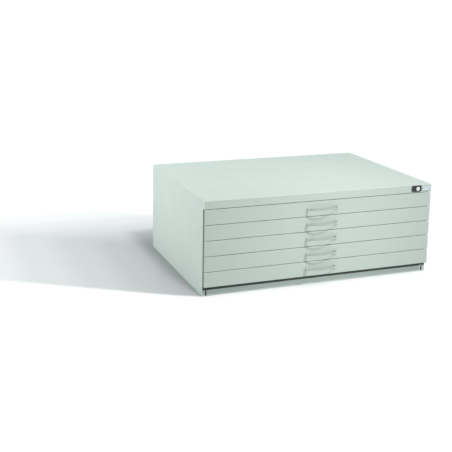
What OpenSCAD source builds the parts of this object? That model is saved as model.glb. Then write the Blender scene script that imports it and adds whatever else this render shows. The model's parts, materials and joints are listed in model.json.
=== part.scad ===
// Flat file cabinet: a steel case with five full-overlay plan drawers on telescopic slides,
// a central lock and a recessed plinth. Millimetres, +X right, +Y to the back, +Z up.
// The origin is the centre of the footprint, handles included, on the floor.

/* [Case] */
// Width over the side panels
case_w = 1100; // [1100:10:1300]
// Depth from the drawer faces to the back panel
case_d = 765; // [745:5:1000]
// Height of the top rail
rail_h = 36.5; // [32:0.5:60]
// Height of the plinth below the drawers
plinth_h = 26; // [25:0.5:60]
// Open shadow gap between the plinth and the lowest drawer
shadow_gap = 17.5; // [8:0.5:20]
// How far the side panels and the plinth stand back from the drawer faces
recess = 18.5; // [18.5:0.5:21]
// Thickness of the steel sheet
sheet = 1.2; // [1:0.1:1.5]

/* [Drawers] */
// Number of drawers
drawers = 5; // [2:1:5]
// Height that each drawer takes up
pitch = 68; // [66:1:90]
// Gap between one drawer front and the next
front_gap = 2; // [1.5:0.5:4]
// Depth of a drawer front
front_t = 18; // [16:1:18]
// Distance between the outsides of a tray's two side walls
tray_w = 978; // [700:2:978]
// Length of a tray from front to back
tray_l = 700; // [500:10:700]
// Height of a tray's walls
tray_h = 50; // [48:1:50]

/* [Handles] */
// Length of a handle from end to end
handle_l = 154; // [110:2:240]
// How far a handle stands out from the drawer face
handle_reach = 28; // [26:1:40]
// Height of the grip bar
grip_h = 9; // [7:0.5:12]

/* [Lock] */
// Distance of the lock cylinder from the centre line
lock_x = 478; // [470:1:480]
// Radius of the lock cylinder
lock_r = 9; // [7:0.5:9.5]

/* [Hidden] */
NAMES = [for (n = [1 : drawers])
    each [str("front_", n), str("handle_", n), str("handle_screws_", n), str("tray_", n),
          str("rear_hood_", n), str("inner_rails_", n), str("middle_rails_", n), str("outer_rails_", n)]];
$fn = 48;
paint = [0.79, 0.85, 0.82];
zinc = [0.72, 0.74, 0.76];
black = [0.09, 0.10, 0.10];
eps = 0.5; // how far a cutting shape runs past the surface it cuts
fit = 0.3; // clearance between pieces that pass each other

// Overall places
case_h = plinth_h + shadow_gap + drawers * pitch + rail_h;
rivet_h = 1.6;
rivet_r = 3.4;
face_y = -(case_d + handle_reach + rivet_h) / 2 + handle_reach;
back_y = face_y + case_d;
rail_z = case_h - rail_h;
side_front_y = face_y + recess;
side_flange = 12.5;
foot_flange = 24;
plinth_end_gap = 6; // between the plinth and the side flanges
fold_r = 2.5; // outer radius of the folded edges of the top
front_fold_r = 2; // outer radius of the folded edges of a front
skirt_h = 12; // height of the top's side and back skirts
inside_x = case_w / 2 - sheet;

// Front rail of the top panel
rail_return = 18;
rail_lip = 6;

// Slides: one pair of outer, middle and inner members for each drawer
slide_w = 12.7;
slide_h = 45;
slide_l = tray_l - 30;
slide_y = face_y + front_t + sheet + 32;
outer_web_x = tray_w / 2 + fit + slide_w;

// Drawer levels, counted from the top
function level(n) = rail_z - n * pitch;
front_h = pitch - front_gap;
front_inset = 1.5; // each end of a front stands this far inside the case width
hem = 2.4; // thickness of the folded edge at each end of a front
hem_w = 10; // how far the returns stand in from the ends of a front
skin = 1.5; // face sheet of a front
lip = 16; // width of the lips along the top and bottom behind a front
end_lip = 46; // width of the lips at its ends
tray_lift = 8; // tray floor above the bottom edge of its front
tray_t = 1; // tray sheet
tray_y = face_y + front_t;
hood_l = 110;
slide_z = tray_lift + tray_h / 2 + 1; // slide centre above the bottom edge of the front

// Screws
screw_r = 2;
screw_head_r = 3.8;
screw_head_h = 2.4;
joint_x = 430; // fixing screws between a tray and its front
joint_z = [14.5, 53];

// Posts that carry the slides
post_w = 60;
post_flange = 14;
post_t = 1.5;
post_y = [face_y + 70, face_y + case_d - 175];
post_z = plinth_h + 1;
post_top = rail_z + 20;

// Handle: two feet and a bow made of two tight arcs and one wide one
grip_t = 3; // thickness of the bow seen from above
grip_lean = 4.8; // how far the bow slopes in from its top to its bottom
foot_w = 13;
foot_h = 11;
foot_d = 3;
handle_z = front_h / 2;
foot_x = handle_l / 2 - foot_w / 2;
bend_r = 14; // radius of the tight arcs
bow_out = handle_reach - grip_t / 2; // centre line of the bow's middle, from the face
bow_a = 2 * atan((bow_out - foot_d - bend_r) / (foot_x - bend_r)); // half the angle of the wide arc

// Lock
lock_z = case_h - 18;
housing_w = 50;
housing_h = 29;
housing_left = 31; // from the cylinder's axis to the housing's left edge
housing_t = 2.5;
housing_r = 8;
barrel_wall = 3; // of the fixed barrel round the cylinder
barrel_l = 19; // of the barrel behind the rail's face
collar_h = 0.5; // how far the barrel stands proud of the housing
cam_pin_r = 2;
cam_reach = 8; // from the cylinder's axis to the cam pin
cam_y = face_y + 24.5;
cam_t = 2;
bar_x = case_w / 2 - 42;
bar_w = 18;
bar_t = 3;
bar_y = face_y + 29.5;
bar_foot_z = level(drawers) + 22;
pin_z = lock_z - cam_reach * sin(45); // cam pin at rest
pin_x = lock_x + cam_reach * cos(45);
arm_h = 10;
lift = 2 * cam_reach * sin(45); // how far the cam raises the bar
catch_z = 30; // bottom edge of a catch above the bottom edge of its front
catch_h = 16;
catch_t = 2;
guide_t = 2;
guide_w = 26;

module mirror_x() {
    children();
    mirror([1, 0, 0]) children();
}

// A box between two corners
module block(a, b) {
    translate(a) cube(b - a);
}

// A rounded rectangle centred on the origin
module rounded(w, h, r) {
    square([w - 2 * r, h], center = true);
    square([w, h - 2 * r], center = true);
    for (x = [-1, 1], y = [-1, 1])
        translate([x * (w / 2 - r), y * (h / 2 - r)]) circle(r);
}

// A rectangle from the origin, with rounded corners where low or high is true
module folded_edge(w, h, r, low, high) {
    difference() {
        square([w, h]);
        if (low) corner_cut(r);
        if (high) translate([0, h]) mirror([0, 1]) corner_cut(r);
    }
}

// What a radius takes off the corner at the origin
module corner_cut(r) {
    difference() {
        translate([-eps, -eps]) square(r + eps);
        translate([r, r]) circle(r, $fn = 64);
    }
}

// Extrudes a profile drawn in Y and Z along X, from -x to x
module along_x(x) {
    translate([-x, 0, 0]) rotate([90, 0, 90]) linear_extrude(2 * x) children();
}

// A panel given by its outline in Y and Z, standing across X from x to x + t
module side_sheet(x, t, outline) {
    translate([x, 0, 0]) rotate([90, 0, 90]) linear_extrude(t) polygon(outline);
}

// A screw along +Y: domed head in front, shank behind
module screw(l) {
    rotate([-90, 0, 0]) cylinder(h = l, r = screw_r - 0.05);
    difference() {
        translate([0, -screw_head_h, 0]) rotate([-90, 0, 0]) cylinder(h = screw_head_h, r = screw_head_r);
        rotate([0, 45, 0]) cube([screw_r * 1.6, 3 * screw_head_h, 0.8], center = true);
        rotate([0, -45, 0]) cube([screw_r * 1.6, 3 * screw_head_h, 0.8], center = true);
    }
}

// ---- Case ----

// Folded top: plate, side and back skirts, and the hollow rail over the drawers
module top_panel() {
    x = case_w / 2;
    color(paint) difference() {
        union() {
            intersection() {
                difference() {
                    along_x(x) translate([face_y, rail_z]) folded_edge(case_d, rail_h, fold_r, true, true);
                    // inside of the rail
                    block([-x - eps, face_y + sheet, rail_z + sheet], [x + eps, back_y + eps, case_h - skirt_h]);
                    block([-x - eps, face_y + rail_return, rail_z - eps], [x + eps, back_y + eps, rail_z + 2 * sheet]);
                    // inside of the plate and its skirts
                    block([-x + sheet, face_y + sheet, rail_z + sheet],
                          [x - sheet, back_y - 2 * sheet - 0.1, case_h - sheet]);
                    block([-x - eps, back_y - sheet - 0.1, rail_z], [x + eps, back_y + eps, case_h - sheet]);
                }
                rotate([90, 0, 0]) translate([-x, rail_z, -back_y - eps]) linear_extrude(case_d + 2 * eps)
                    difference() {
                        square([2 * x, rail_h]);
                        for (e = [0, 1])
                            translate([2 * x * e, rail_h]) mirror([e, 0]) mirror([0, 1]) corner_cut(fold_r);
                    }
            }
            block([-inside_x + 0.1, face_y + rail_return - sheet, rail_z],
                  [inside_x - 0.1, face_y + rail_return, rail_z + rail_lip]);
        }
        translate([lock_x, face_y - eps, lock_z]) rotate([-90, 0, 0])
            cylinder(h = sheet + 2 * eps, r = lock_r + barrel_wall + 0.1);
    }
}

// Side sheet: set back beside the drawers, forward again to close the end of the rail
module side_panel() {
    x = inside_x;
    rail_y = face_y + sheet + 0.05;
    top = case_h - skirt_h - 0.05;
    color(paint) {
        side_sheet(x, sheet, [
            [side_front_y, 0], [back_y - sheet - 0.05, 0], [back_y - sheet - 0.05, top], [rail_y, top],
            [rail_y, rail_z + sheet + 0.05], [side_front_y, rail_z + sheet + 0.05]]);
        // front flange, open at the shadow gap
        block([x - side_flange, side_front_y, 0], [x + sheet / 2, side_front_y + sheet, plinth_h]);
        block([x - side_flange, side_front_y, plinth_h + shadow_gap],
              [x + sheet / 2, side_front_y + sheet, rail_z - 0.3]);
        // foot flange that stands on the floor
        block([x - foot_flange, side_front_y + 3 * sheet, 0], [x + sheet / 2, back_y - 2 * sheet - 0.1, sheet]);
    }
}

module back_panel() {
    x = inside_x - 0.05;
    color(paint) {
        block([-case_w / 2, back_y - sheet, 0], [case_w / 2, back_y, case_h - sheet - 0.1]);
        // stiffening folds
        for (z = [case_h / 3, 2 * case_h / 3])
            block([-x + 60, back_y - 8, z - 10], [x - 60, back_y - sheet, z - 8]);
    }
}

// Floor of the case, with folded edges
module bottom_panel() {
    x = inside_x - 0.05;
    y1 = side_front_y + 3 * sheet;
    y2 = back_y - sheet - 0.1;
    color(paint) {
        block([-x, y1, plinth_h - sheet], [x, y2, plinth_h]);
        block([-x, y2 - sheet, plinth_h - 16], [x, y2, plinth_h]);
        mirror_x() block([x - sheet, y1 + 2, plinth_h - 16], [x, y2, plinth_h]);
    }
}

// Plinth board between the two side flanges
module plinth() {
    x = inside_x - side_flange - plinth_end_gap;
    y = side_front_y + 1;
    color(paint) {
        block([-x, y, 0], [x, y + sheet, plinth_h]);
        block([-inside_x + foot_flange + 2, y, 0], [inside_x - foot_flange - 2, y + 26, sheet]);
        block([-x, y, plinth_h - sheet], [x, side_front_y + 3 * sheet - 0.05, plinth_h]);
    }
}

// Hat-section post with its open side against the side panel
module post(y) {
    x0 = outer_web_x + fit;
    x1 = inside_x - 0.1;
    color(paint) difference() {
        union() {
            block([x0, y, post_z], [x0 + post_t, y + post_w, post_top]);
            for (s = [0, post_w - post_t])
                block([x0, y + s, post_z], [x1, y + s + post_t, post_top]);
            block([x1 - post_t, y - post_flange, post_z], [x1, y + post_t, post_top]);
            block([x1 - post_t, y + post_w - post_t, post_z], [x1, y + post_w + post_flange, post_top]);
        }
        for (n = [1 : drawers])
            translate([x0 - eps, y + post_w / 2, level(n) + slide_z]) rotate([0, 90, 0])
                cylinder(h = post_t + 2 * eps, r = screw_r);
    }
}

// Hat channel welded under the top
module top_stiffener() {
    z = case_h - sheet - 0.05;
    color(paint) for (s = [-1, 1])
        translate([s * 230, 0, 0]) {
            block([-30, face_y + 60, z - 16], [30, back_y - 30, z - 16 + sheet]);
            for (x = [-30, 30 - sheet])
                block([x, face_y + 60, z - 16], [x + sheet, back_y - 30, z]);
        }
}

// Screws through the outer slide members into the posts
module rail_screws() {
    color(zinc) mirror_x() for (n = [1 : drawers], y = post_y)
        translate([outer_web_x - sheet, y + post_w / 2, level(n) + slide_z]) rotate([0, 0, -90])
            screw(8);
}

// Rivet heads along the side edges of the back panel
module back_rivets() {
    color(zinc) for (x = [-1, 1], z = [60, case_h / 2, case_h - 60])
        translate([x * (inside_x - 30), back_y, z]) rotate([-90, 0, 0])
            cylinder(h = rivet_h, r = rivet_r);
}

// ---- Slides ----

// A channel lying along Y: its web at x, its open side towards -X, depth d and height h
module channel(x, d, h, t) {
    block([x - t, slide_y, -h / 2], [x, slide_y + slide_l, h / 2]);
    for (z = [-h / 2, h / 2 - t])
        block([x - d, slide_y, z], [x, slide_y + slide_l, z + t]);
}

module outer_rails(n) {
    x = outer_web_x;
    color(zinc) mirror_x() translate([0, 0, level(n) + slide_z]) difference() {
        union() {
            channel(x, slide_w - 2, slide_h, sheet);
            for (s = [-1, 1])
                translate([0, 0, s * (slide_h / 2 - 2)])
                    block([x - slide_w + 2, slide_y, -2], [x - slide_w + 2 + sheet, slide_y + slide_l, 2]);
        }
        for (y = post_y)
            translate([x - sheet - eps, y + post_w / 2, 0]) rotate([0, 90, 0])
                cylinder(h = sheet + 2 * eps, r = screw_r);
    }
}

// I-shaped member that runs between the outer and the inner one
module middle_rails(n) {
    x = tray_w / 2 + fit + slide_w / 2 - 0.4;
    h = slide_h - 10;
    color(zinc) mirror_x() translate([x, 0, level(n) + slide_z]) {
        block([-sheet / 2, slide_y, -h / 2], [sheet / 2, slide_y + slide_l, h / 2]);
        for (z = [-h / 2, h / 2 - sheet])
            block([-3.4, slide_y, z], [3.4, slide_y + slide_l, z + sheet]);
    }
}

module inner_rails(n) {
    x = tray_w / 2 + 0.05;
    h = slide_h - 18;
    color(zinc) mirror_x() translate([0, 0, level(n) + slide_z]) {
        block([x, slide_y, -h / 2], [x + sheet, slide_y + slide_l, h / 2]);
        for (z = [-h / 2, h / 2 - sheet])
            block([x, slide_y, z], [x + 4.4, slide_y + slide_l, z + sheet]);
    }
}

// ---- Drawers ----

// Folded front: face sheet with hemmed ends, returns and lips, and the catch for the lock bar
module front(n) {
    x = case_w / 2 - front_inset;
    xi = x - hem_w;
    color(paint) translate([0, face_y, level(n)]) {
        difference() {
            union() {
                along_x(x) folded_edge(hem, front_h, front_fold_r, true, true);
                along_x(xi) folded_edge(front_t, front_h, front_fold_r, true, true);
            }
            block([-xi + sheet, skin, sheet], [xi - sheet, front_t - sheet, front_h - sheet]);
            block([-xi + end_lip, skin, lip], [xi - end_lip, front_t + eps, front_h - lip]);
            mirror_x() {
                translate([foot_x, -eps, handle_z]) rotate([-90, 0, 0])
                    cylinder(h = skin + 2 * eps, r = screw_r + 0.1);
                for (z = joint_z)
                    translate([joint_x, front_t - sheet - eps, z]) rotate([-90, 0, 0])
                        cylinder(h = sheet + 2 * eps, r = screw_r);
            }
        }
        catch();
    }
}

// Tongue behind the right end of a front: the lock bar rises into its notch
module catch() {
    x = bar_x - catch_t / 2;
    notch_y = bar_y - face_y - 1;
    difference() {
        block([x, front_t - sheet, catch_z], [x + catch_t, notch_y + bar_t + 10, catch_z + catch_h]);
        block([x - eps, notch_y, catch_z - eps],
              [x + catch_t + eps, notch_y + bar_t + 2, catch_z + catch_h - 3.5]);
    }
}

// Bow seen from above: tight arc, wide arc, tight arc, tangent to each other
module handle(n) {
    color(paint) translate([0, face_y, level(n) + handle_z]) difference() {
        union() {
            mirror_x() {
                translate([foot_x, -foot_d - 4, 0]) rotate([-90, 0, 0])
                    linear_extrude(foot_d + 4) rounded(foot_w, foot_h, 3);
                bow_bend();
            }
            bow_middle();
        }
        mirror_x() translate([foot_x, -6, 0]) rotate([-90, 0, 0]) cylinder(h = 6 + eps, r = screw_r - 0.05);
    }
}

// Section of the bow: a strip that leans outwards at its top
module grip_section() {
    x = grip_t / 2;
    z = grip_h / 2;
    polygon([[-x - grip_lean, -z], [x - grip_lean, -z], [x, z], [-x, z]]);
}

module bow_bend() {
    translate([foot_x - bend_r, -foot_d, 0])
        rotate([0, 0, bow_a - 90]) rotate_extrude(angle = 90 - bow_a, $fn = 96)
            translate([bend_r, 0]) grip_section();
}

module bow_middle() {
    r = (foot_x - bend_r) / sin(bow_a) + bend_r;
    translate([0, r - bow_out, 0])
        rotate([0, 0, -90 - bow_a]) rotate_extrude(angle = 2 * bow_a, $fn = 360)
            translate([r, 0]) grip_section();
}

module handle_screws(n) {
    color(zinc) mirror_x()
        translate([foot_x, face_y + skin, level(n) + handle_z]) rotate([0, 0, 180])
            screw(skin + 5);
}

// Folded tray with a paper lip in front
module tray(n) {
    x = tray_w / 2;
    z0 = level(n) + tray_lift;
    color(paint) difference() {
        union() {
            difference() {
                block([-x, tray_y + 0.05, z0], [x, tray_y + tray_l, z0 + tray_h]);
                block([-x + tray_t, tray_y + tray_t, z0 + tray_t],
                      [x - tray_t, tray_y + tray_l - tray_t, z0 + tray_h + eps]);
            }
            // hems along the tops of the side walls
            mirror_x()
                block([x - 5, tray_y + 0.05, z0 + tray_h - tray_t], [x, tray_y + tray_l, z0 + tray_h]);
            // paper lip behind the front
            block([-x, tray_y + 0.05, z0 + tray_h - tray_t], [x, tray_y + 22, z0 + tray_h]);
        }
        mirror_x() for (z = joint_z)
            translate([joint_x, tray_y - eps, level(n) + z]) rotate([-90, 0, 0])
                cylinder(h = tray_t + 2 * eps, r = screw_r);
    }
}

// Hood over the back of the tray that keeps sheets down
module rear_hood(n) {
    x = tray_w / 2;
    z0 = level(n) + tray_lift + tray_h + 0.05;
    y2 = tray_y + tray_l;
    color(paint) {
        block([-x, y2 - hood_l, z0], [x, y2, z0 + tray_t]);
        block([-x, y2 - hood_l, z0], [x, y2 - hood_l + tray_t, z0 + 4]);
    }
}

// ---- Lock and badge ----

// Face plate and the fixed barrel behind it, bored for the cylinder
module lock_housing() {
    plate_x = lock_x + housing_w / 2 - housing_left;
    color(black) difference() {
        union() {
            translate([plate_x, face_y - 0.05, lock_z + 0.5]) rotate([90, 0, 0])
                linear_extrude(housing_t) rounded(housing_w, housing_h, housing_r);
            translate([lock_x, face_y - housing_t - collar_h, lock_z]) rotate([-90, 0, 0])
                cylinder(h = collar_h + housing_t + barrel_l, r = lock_r + barrel_wall);
        }
        translate([lock_x, face_y - housing_t - collar_h - eps, lock_z]) rotate([-90, 0, 0])
            cylinder(h = housing_t + barrel_l + 2, r = lock_r + 0.08);
    }
}

module lock_cylinder() {
    color(zinc) translate([lock_x, 0, lock_z]) rotate([-90, 0, 0]) difference() {
        union() {
            translate([0, 0, face_y - housing_t - 1.2]) cylinder(h = cam_y - face_y + housing_t + 1.2, r = lock_r);
            translate([0, 0, cam_y]) cylinder(h = cam_t, r = 4);
        }
        // keyway
        translate([0, 0, face_y - housing_t]) cube([1.6, 8, 9], center = true);
    }
}

// Cam on the back of the cylinder: its pin lifts the lock bar
module lock_cam() {
    color(zinc) {
        translate([lock_x, cam_y + 0.05, lock_z]) rotate([0, 45, 0]) rotate([-90, 0, 0])
            linear_extrude(cam_t) difference() {
                union() {
                    circle(7.5);
                    translate([0, -3.5]) square([cam_reach, 7]);
                    translate([cam_reach, 0]) circle(3.5);
                }
                circle(4.02);
            }
        translate([pin_x, cam_y + cam_t, pin_z]) rotate([-90, 0, 0]) cylinder(h = 6.5, r = cam_pin_r);
    }
}

// Flat bar behind the right-hand ends of the fronts, with a window at every catch
module lock_bar() {
    x0 = bar_x - bar_w / 2;
    color(zinc) difference() {
        union() {
            block([x0, bar_y, bar_foot_z], [x0 + bar_w, bar_y + bar_t, pin_z + arm_h / 2]);
            block([pin_x - 8, bar_y, pin_z - arm_h / 2], [x0 + 1, bar_y + bar_t, pin_z + arm_h / 2]);
        }
        for (n = [1 : drawers])
            block([bar_x - 4, bar_y - eps, level(n) + catch_z - 1.5],
                  [bar_x + 4, bar_y + bar_t + eps, level(n) + catch_z + catch_h + 2]);
        // slot for the cam pin
        translate([pin_x + 1.2, bar_y + bar_t / 2, pin_z]) rotate([90, 0, 0])
            linear_extrude(bar_t + 2 * eps, center = true)
                square([11, 2 * cam_pin_r + 0.8], center = true);
    }
}

// Guides that hold the bar to the front right post
module lock_bar_guides() {
    x0 = bar_x - guide_w / 2;
    stem_x0 = outer_web_x + 1;
    stem_x1 = x0 + guide_w;
    y1 = post_y[0] - 0.05;
    color(zinc) for (n = [1, drawers])
        translate([0, 0, level(n) + 10]) {
            difference() {
                union() {
                    block([x0, bar_y - 3, 0], [x0 + guide_w, bar_y + bar_t + 4, guide_t]);
                    block([stem_x0, bar_y + bar_t + 3, 0], [stem_x1, y1, guide_t]);
                }
                block([bar_x - bar_w / 2 - fit, bar_y - fit, -eps],
                      [bar_x + bar_w / 2 + fit, bar_y + bar_t + fit, guide_t + eps]);
            }
            block([stem_x0, y1 - guide_t, 0], [stem_x1, y1, 14]);
        }
}

// Blank name plate at the right end of the rail
module badge() {
    color([0.86, 0.88, 0.9]) translate([case_w / 2 - 27, face_y - 0.05, lock_z]) rotate([90, 0, 0]) {
        difference() {
            linear_extrude(1.4) rounded(42, 20, 2.5);
            translate([0, 0, 0.9]) linear_extrude(1) rounded(38, 16, 1.5);
        }
    }
}

top_panel();
mirror([1, 0, 0]) side_panel();  // side_left
side_panel();  // side_right
back_panel();
bottom_panel();
plinth();
mirror([1, 0, 0]) post(post_y[0]);  // post_front_left
post(post_y[0]);  // post_front_right
mirror([1, 0, 0]) post(post_y[1]);  // post_rear_left
post(post_y[1]);  // post_rear_right
top_stiffener();
rail_screws();
back_rivets();
lock_housing();
lock_cylinder();
lock_cam();
lock_bar();
lock_bar_guides();
badge();
for (n = [1 : drawers]) {
    front(n);
    handle(n);
    handle_screws(n);
    tray(n);
    rear_hood(n);
    inner_rails(n);
    middle_rails(n);
    outer_rails(n);
}
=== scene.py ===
import json
import math

import bmesh
import bpy
from mathutils import Matrix, Vector


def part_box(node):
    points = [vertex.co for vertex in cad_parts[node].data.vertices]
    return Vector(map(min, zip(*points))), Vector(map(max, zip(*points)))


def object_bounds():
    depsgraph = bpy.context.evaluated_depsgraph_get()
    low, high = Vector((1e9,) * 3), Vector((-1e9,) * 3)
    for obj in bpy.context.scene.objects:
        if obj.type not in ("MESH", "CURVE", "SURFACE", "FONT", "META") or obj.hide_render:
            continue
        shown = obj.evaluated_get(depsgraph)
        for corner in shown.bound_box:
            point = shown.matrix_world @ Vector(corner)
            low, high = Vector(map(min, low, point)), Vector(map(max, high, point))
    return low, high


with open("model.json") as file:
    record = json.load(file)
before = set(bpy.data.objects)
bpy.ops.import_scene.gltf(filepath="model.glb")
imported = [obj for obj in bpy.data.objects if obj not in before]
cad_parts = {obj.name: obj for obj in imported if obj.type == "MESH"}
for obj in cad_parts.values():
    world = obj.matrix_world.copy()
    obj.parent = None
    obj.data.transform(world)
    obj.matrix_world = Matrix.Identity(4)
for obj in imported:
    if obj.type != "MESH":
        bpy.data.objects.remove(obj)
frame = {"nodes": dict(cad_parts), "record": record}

CAD_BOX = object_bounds()
MM = 0.001
DRAWERS = [name[len("front_"):] for name in frame["nodes"] if name.startswith("front_")]

# paint of the case, linear RGB; the fronts and handles differ a little from it
PAINT = (0.321, 0.372, 0.342)
FRONT_SHADE = 0.985
HANDLE_SHADE = 1.03

# rounding of the edges, in metres
SHEET_EDGE = 0.5 * MM
HANDLE_EDGE = 0.7 * MM
HOUSING_EDGE = 0.8 * MM
BADGE_EDGE = 0.3 * MM
BEVEL_ANGLE = math.radians(40)

# worn paint and a painted highlight along the edges: how far round an edge they reach, in metres,
# how strong they are, and how much lighter
EDGE_WEAR_AND_HIGHLIGHT_RADIUS = 2.5 * MM
EDGE_WEAR_AND_HIGHLIGHT_STRENGTH = 0.55
EDGE_WEAR_AND_HIGHLIGHT_SHADE = 1.14

# studio
FLOOR_HALF = 200.0
FLOOR_ALBEDO = 0.50
WARM = (1.0, 0.97, 0.95)
BACKDROP_COLOUR = (0.90, 1.0, 1.02, 1.0)
BACKDROP_STRENGTH = 0.66

# the cabinet's shadow on the floor fades to the left: it is a sum of shadows, each of which
# reaches this far, in metres
SHADOW_REACHES = [0.12, 0.32, 0.55, 0.80, 1.10, 1.45]
SHADOW_AZIMUTH = 32
SHADOW_DEPTH = 0.57
SHADOW_BLUR = 0.16

# camera: place in metres, angles in degrees
CAMERA_PLACE = (-1.7108, -3.6339, 1.3109)
CAMERA_AZIMUTH = 20.97
CAMERA_DOWN = 10.64
CAMERA_ROLL = 0.94
CAMERA_LENS = 68.85
CAMERA_SHIFT_Y = -0.18


# ---- Node material helpers ----

class Shader:
    """A material with its Principled shader and short calls that add the nodes it needs."""

    def __init__(self, name, colour, roughness, metallic=0.0, coat=0.0, specular=0.5):
        self.material = bpy.data.materials.new(name)
        self.material.use_nodes = True
        self.tree = self.material.node_tree
        self.shader = self.tree.nodes["Principled BSDF"]
        self.set("Base Color", (*colour, 1.0))
        self.set("Roughness", roughness)
        self.set("Metallic", metallic)
        self.set("Coat Weight", coat)
        self.set("Specular IOR Level", specular)
        self.coords = self.add("ShaderNodeTexCoord").outputs["Object"]

    def set(self, socket, value):
        self.shader.inputs[socket].default_value = value

    def add(self, kind, **values):
        node = self.tree.nodes.new(kind)
        for key, value in values.items():
            setattr(node, key, value)
        return node

    def link(self, source, target):
        self.tree.links.new(source, target)

    def stretched(self, scale):
        """Object coordinates scaled by a factor for each axis."""
        node = self.add("ShaderNodeMapping")
        node.inputs["Scale"].default_value = scale
        self.link(self.coords, node.inputs["Vector"])
        return node.outputs["Vector"]

    def noise(self, scale, detail=2.0, stretch=None, rough=0.5):
        node = self.add("ShaderNodeTexNoise")
        node.inputs["Scale"].default_value = scale
        node.inputs["Detail"].default_value = detail
        node.inputs["Roughness"].default_value = rough
        self.link(self.stretched(stretch) if stretch else self.coords, node.inputs["Vector"])
        return node.outputs["Fac"]

    def remap(self, value, low, high, frm=(0.3, 0.7)):
        node = self.add("ShaderNodeMapRange")
        node.inputs["From Min"].default_value = frm[0]
        node.inputs["From Max"].default_value = frm[1]
        node.inputs["To Min"].default_value = low
        node.inputs["To Max"].default_value = high
        self.link(value, node.inputs["Value"])
        return node.outputs["Result"]

    def mix(self, factor, first, second):
        """A colour between two colours or colour outputs."""
        node = self.add("ShaderNodeMix", data_type="RGBA")
        self.link(factor, node.inputs["Factor"])
        for socket, value in ((node.inputs["A"], first), (node.inputs["B"], second)):
            if isinstance(value, tuple):
                socket.default_value = (*value, 1.0)
            else:
                self.link(value, socket)
        return node.outputs["Result"]

    def edges(self, radius, strength):
        """How strongly a place lies on an edge, for worn paint and a painted highlight, patchy along
        its length.
        """
        rounded = self.add("ShaderNodeBevel", samples=6)
        rounded.inputs["Radius"].default_value = radius
        sharp = self.add("ShaderNodeNewGeometry")
        dot = self.add("ShaderNodeVectorMath", operation="DOT_PRODUCT")
        self.link(rounded.outputs["Normal"], dot.inputs[0])
        self.link(sharp.outputs["True Normal"], dot.inputs[1])
        turn = self.remap(dot.outputs["Value"], strength, 0.0, frm=(0.80, 0.99))
        patches = self.remap(self.noise(35.0, detail=4.0), 0.35, 1.0)
        product = self.add("ShaderNodeMath", operation="MULTIPLY", use_clamp=True)
        self.link(turn, product.inputs[0])
        self.link(patches, product.inputs[1])
        return product.outputs["Value"]

    def colour(self, output):
        self.link(output, self.shader.inputs["Base Color"])

    def roughness(self, output):
        self.link(output, self.shader.inputs["Roughness"])

    def bump(self, heights):
        """Bump from (height output, strength, distance in metres) layers."""
        normal = None
        for height, strength, distance in heights:
            node = self.add("ShaderNodeBump")
            node.inputs["Strength"].default_value = strength
            node.inputs["Distance"].default_value = distance
            self.link(height, node.inputs["Height"])
            if normal:
                self.link(normal, node.inputs["Normal"])
            normal = node.outputs["Normal"]
        self.link(normal, self.shader.inputs["Normal"])


def shade(colour, factor):
    return tuple(c * factor for c in colour)


def powder_coat(name, colour):
    """Satin powder coat: orange peel, faint mottling, uneven gloss, and thin paint with a painted
    highlight along edges.
    """
    s = Shader(name, colour, roughness=0.50, specular=0.30)
    mottle = s.remap(s.noise(3.5, detail=5.0), 0.0, 1.0)
    speckle = s.remap(s.noise(900.0, detail=1.0), 0.0, 1.0)
    body = s.mix(mottle, shade(colour, 0.98), shade(colour, 1.015))
    grain = s.mix(speckle, shade(colour, 0.985), shade(colour, 1.015))
    tinted = s.mix(s.remap(s.noise(14.0), 0.3, 0.7), body, grain)
    # lighter paint along the edges: partly worn paint, partly a painted highlight
    s.colour(s.mix(s.edges(EDGE_WEAR_AND_HIGHLIGHT_RADIUS, EDGE_WEAR_AND_HIGHLIGHT_STRENGTH), tinted, shade(colour, EDGE_WEAR_AND_HIGHLIGHT_SHADE)))
    s.roughness(s.remap(s.noise(9.0, detail=6.0), 0.46, 0.58))
    peel = s.noise(420.0, detail=2.0)
    sheet_wave = s.noise(2.2, detail=1.0)
    s.bump([(sheet_wave, 0.05, 0.003), (peel, 0.08, 0.0005)])
    return s.material


def zinc_plate(name, colour):
    """Bright zinc on rolled steel, with streaks along the slide."""
    s = Shader(name, colour, roughness=0.34, metallic=1.0)
    streaks = s.noise(60.0, detail=4.0, stretch=(14.0, 0.35, 14.0))
    cloud = s.noise(25.0, detail=3.0)
    s.colour(s.mix(s.remap(cloud, 0.0, 1.0), shade(colour, 0.84), shade(colour, 1.08)))
    s.roughness(s.remap(streaks, 0.26, 0.46))
    s.bump([(streaks, 0.18, 0.0003)])
    return s.material


def moulded_plastic(name, colour):
    """Black plastic with a fine spark-eroded grain."""
    s = Shader(name, colour, roughness=0.45)
    grain = s.noise(2600.0, detail=2.0)
    s.colour(s.mix(s.remap(s.noise(120.0), 0.0, 1.0), shade(colour, 0.8), shade(colour, 1.4)))
    s.roughness(s.remap(grain, 0.38, 0.56))
    s.bump([(grain, 0.25, 0.0002)])
    return s.material


def turned_nickel(name, colour, centre):
    """Satin nickel with turning rings round the lock's axis."""
    s = Shader(name, colour, roughness=0.24, metallic=1.0)
    mapping = s.add("ShaderNodeMapping", vector_type="POINT")
    mapping.inputs["Location"].default_value = [-c for c in centre]
    s.link(s.coords, mapping.inputs["Vector"])
    rings = s.add("ShaderNodeTexWave", wave_type="RINGS", rings_direction="Y")
    rings.inputs["Scale"].default_value = 700.0
    rings.inputs["Distortion"].default_value = 0.6
    s.link(mapping.outputs["Vector"], rings.inputs["Vector"])
    s.roughness(s.remap(rings.outputs["Fac"], 0.18, 0.34, frm=(0.0, 1.0)))
    s.bump([(rings.outputs["Fac"], 0.12, 0.0001)])
    s.colour(s.mix(s.remap(s.noise(300.0), 0.0, 1.0), shade(colour, 0.92), shade(colour, 1.04)))
    return s.material


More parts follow.
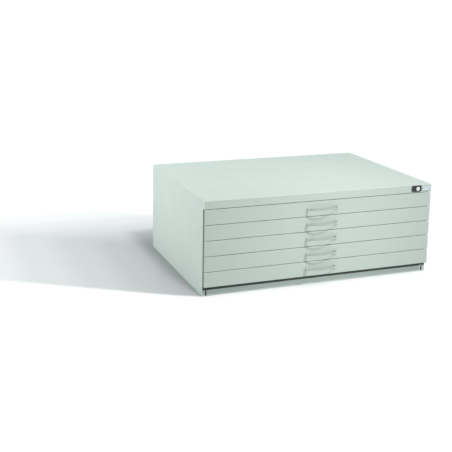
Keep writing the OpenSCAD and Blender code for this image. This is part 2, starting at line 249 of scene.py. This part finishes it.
def brushed_aluminium(name, colour):
    """Anodised plate brushed along X, lightly lacquered."""
    s = Shader(name, colour, roughness=0.42, metallic=0.55, coat=0.15)
    hairs = s.noise(900.0, detail=3.0, stretch=(0.03, 1.0, 1.0))
    s.colour(s.mix(s.remap(hairs, 0.0, 1.0), shade(colour, 0.86), shade(colour, 1.06)))
    s.roughness(s.remap(hairs, 0.34, 0.52))
    s.bump([(hairs, 0.15, 0.0001)])
    return s.material


def floor_material():
    """Matt grey floor, slightly uneven in gloss."""
    s = Shader("studio_floor", (FLOOR_ALBEDO,) * 3, roughness=0.85, specular=0.1)
    s.roughness(s.remap(s.noise(4.0), 0.80, 0.90))
    return s.material


# ---- Looks of the CAD nodes ----

def lock_axis():
    """A point on the axis that the lock cylinder turns about."""
    lo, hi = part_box("lock_cylinder")
    return [(a + b) / 2 for a, b in zip(lo, hi)]


MATERIALS = {
    "case_paint": powder_coat("case_paint", PAINT),
    "drawer_paint": powder_coat("drawer_paint", shade(PAINT, FRONT_SHADE)),
    "handle_paint": powder_coat("handle_paint", shade(PAINT, HANDLE_SHADE)),
    "slide_zinc": zinc_plate("slide_zinc", (0.62, 0.64, 0.66)),
    "screw_steel": zinc_plate("screw_steel", (0.55, 0.56, 0.57)),
    "lock_plastic": moulded_plastic("lock_plastic", (0.012, 0.016, 0.015)),
    "lock_chrome": turned_nickel("lock_chrome", (0.82, 0.83, 0.83), lock_axis()),
    "badge_plate": brushed_aluminium("badge_plate", (0.50, 0.56, 0.60)),
}


def dress_nodes():
    """Gives every CAD node the material of its slot in the record."""
    for part in frame["record"]["subparts"]:
        node = frame["nodes"][part["node"]]
        node.data.materials.clear()
        node.data.materials.append(MATERIALS[part["material_slot"]])
        for polygon in node.data.polygons:
            polygon.material_index = 0


def bevel(node, width, segments=2):
    """Rounds the sharp edges of a CAD node to a width in metres."""
    modifier = frame["nodes"][node].modifiers.new("edge_radius", "BEVEL")
    modifier.width = width
    modifier.segments = segments
    modifier.limit_method = "ANGLE"
    modifier.angle_limit = BEVEL_ANGLE


def round_edges():
    """Softens the edges of the pieces that show from outside."""
    for drawer in DRAWERS:
        bevel("front_" + drawer, SHEET_EDGE)
        bevel("handle_" + drawer, HANDLE_EDGE, segments=3)
    for name in ("top_panel", "side_left", "side_right", "plinth"):
        bevel(name, SHEET_EDGE)
    bevel("lock_housing", HOUSING_EDGE, segments=3)
    bevel("badge", BADGE_EDGE)


# ---- Studio ----

def studio_floor():
    """A floor at height 0 that runs on past every view."""
    mesh = bpy.data.meshes.new("studio_floor")
    bm = bmesh.new()
    signs = ((-1, -1), (1, -1), (1, 1), (-1, 1))
    bm.faces.new([bm.verts.new((x * FLOOR_HALF, y * FLOOR_HALF, 0.0)) for x, y in signs])
    bm.to_mesh(mesh)
    bm.free()
    floor = bpy.data.objects.new("studio_floor", mesh)
    floor.data.materials.append(floor_material())
    bpy.context.scene.collection.objects.link(floor)
    return floor


def aimed(name, data, toward):
    """A light whose rays travel along toward."""
    light = bpy.data.objects.new(name, data)
    light.rotation_euler = Vector(toward).to_track_quat("-Z", "Y").to_euler()
    bpy.context.scene.collection.objects.link(light)
    return light


def sun(name, azimuth, elevation, spread, strength, colour=(1, 1, 1)):
    """A distant light, with its angles in degrees: azimuth turns from +X towards -Y."""
    data = bpy.data.lights.new(name, "SUN")
    data.angle = math.radians(spread)
    data.energy = strength
    data.color = colour
    a, e = math.radians(azimuth), math.radians(elevation)
    return aimed(name, data, (-math.cos(a) * math.cos(e), math.sin(a) * math.cos(e), -math.sin(e)))


def soft_spot(name, place, target, cone, size, power):
    """A spot that fades over its whole cone, in degrees, and shows in no reflection."""
    data = bpy.data.lights.new(name, "SPOT")
    data.spot_size = math.radians(cone)
    data.spot_blend = 1.0
    data.shadow_soft_size = size
    data.energy = power
    light = aimed(name, data, Vector(target) - Vector(place))
    light.location = place
    light.visible_glossy = False
    return light


def light_only(light, floor, lit):
    """Lets a light reach only the studio floor, or everything except it."""
    receivers = bpy.data.collections.new(light.name + "_receivers")
    receivers.objects.link(floor)
    light.light_linking.receiver_collection = receivers
    if not lit:
        receivers.collection_objects[0].light_linking.link_state = "EXCLUDE"


def studio_world():
    """The even light all round, which is also the background above the floor."""
    world = bpy.data.worlds.new("studio")
    world.use_nodes = True
    background = world.node_tree.nodes["Background"]
    background.inputs["Color"].default_value = BACKDROP_COLOUR
    background.inputs["Strength"].default_value = BACKDROP_STRENGTH
    bpy.context.scene.world = world


def cabinet_lights(floor):
    """Lights of the cabinet, which pass the floor by."""
    for light in (
        sun("key", azimuth=36, elevation=49.5, spread=1.5, strength=3.8, colour=WARM),
        sun("overhead", azimuth=90, elevation=89, spread=40, strength=0.76),
        soft_spot("left_fill", (-2.8, 0.9, 0.95), (-0.55, 0.0, 0.25), cone=60, size=0.5, power=325),
        soft_spot("top_fill", (0.35, 0.35, 1.5), (0.18, -0.38, 0.42), cone=46, size=0.4, power=26),
        soft_spot("front_spot", (0.7, -3.0, 0.8), (0.09, -0.38, 0.33), cone=21, size=0.5, power=325),
    ):
        light_only(light, floor, False)


def floor_lights(floor):
    """Lights of the floor, whose shadows fade evenly to the left, away from the cabinet."""
    height = CAD_BOX[1][2]
    share = SHADOW_DEPTH / len(SHADOW_REACHES)
    for reach in SHADOW_REACHES:
        rise = math.atan2(height, reach)
        name = "floor_key_%d" % round(100 * reach)
        spread = math.degrees(SHADOW_BLUR * math.sin(rise) ** 2 / height)
        strength = share * math.pi / FLOOR_ALBEDO / math.sin(rise)
        light_only(sun(name, SHADOW_AZIMUTH, math.degrees(rise), spread, strength), floor, True)
    light_only(sun("floor_front", azimuth=80, elevation=55, spread=10, strength=1.36), floor, True)


def studio_camera():
    """A long lens from the front left, looking a little down."""
    data = bpy.data.cameras.new("camera")
    data.sensor_width = 36.0
    data.lens = CAMERA_LENS
    data.shift_y = CAMERA_SHIFT_Y
    data.clip_end = 2 * FLOOR_HALF
    camera = bpy.data.objects.new("camera", data)
    azimuth, down, roll = (math.radians(a) for a in (CAMERA_AZIMUTH, CAMERA_DOWN, CAMERA_ROLL))
    level = math.cos(down)
    forward = Vector((math.sin(azimuth) * level, math.cos(azimuth) * level, -math.sin(down)))
    turn = forward.to_track_quat("-Z", "Y").to_matrix().to_4x4()
    place = Matrix.Translation(CAMERA_PLACE)
    camera.matrix_world = place @ turn @ Matrix.Rotation(roll, 4, "Z")
    bpy.context.scene.collection.objects.link(camera)
    bpy.context.scene.camera = camera
    bpy.context.scene.view_settings.view_transform = "Standard"


dress_nodes()
round_edges()
studio_world()
stage_floor = studio_floor()
cabinet_lights(stage_floor)
floor_lights(stage_floor)
studio_camera()
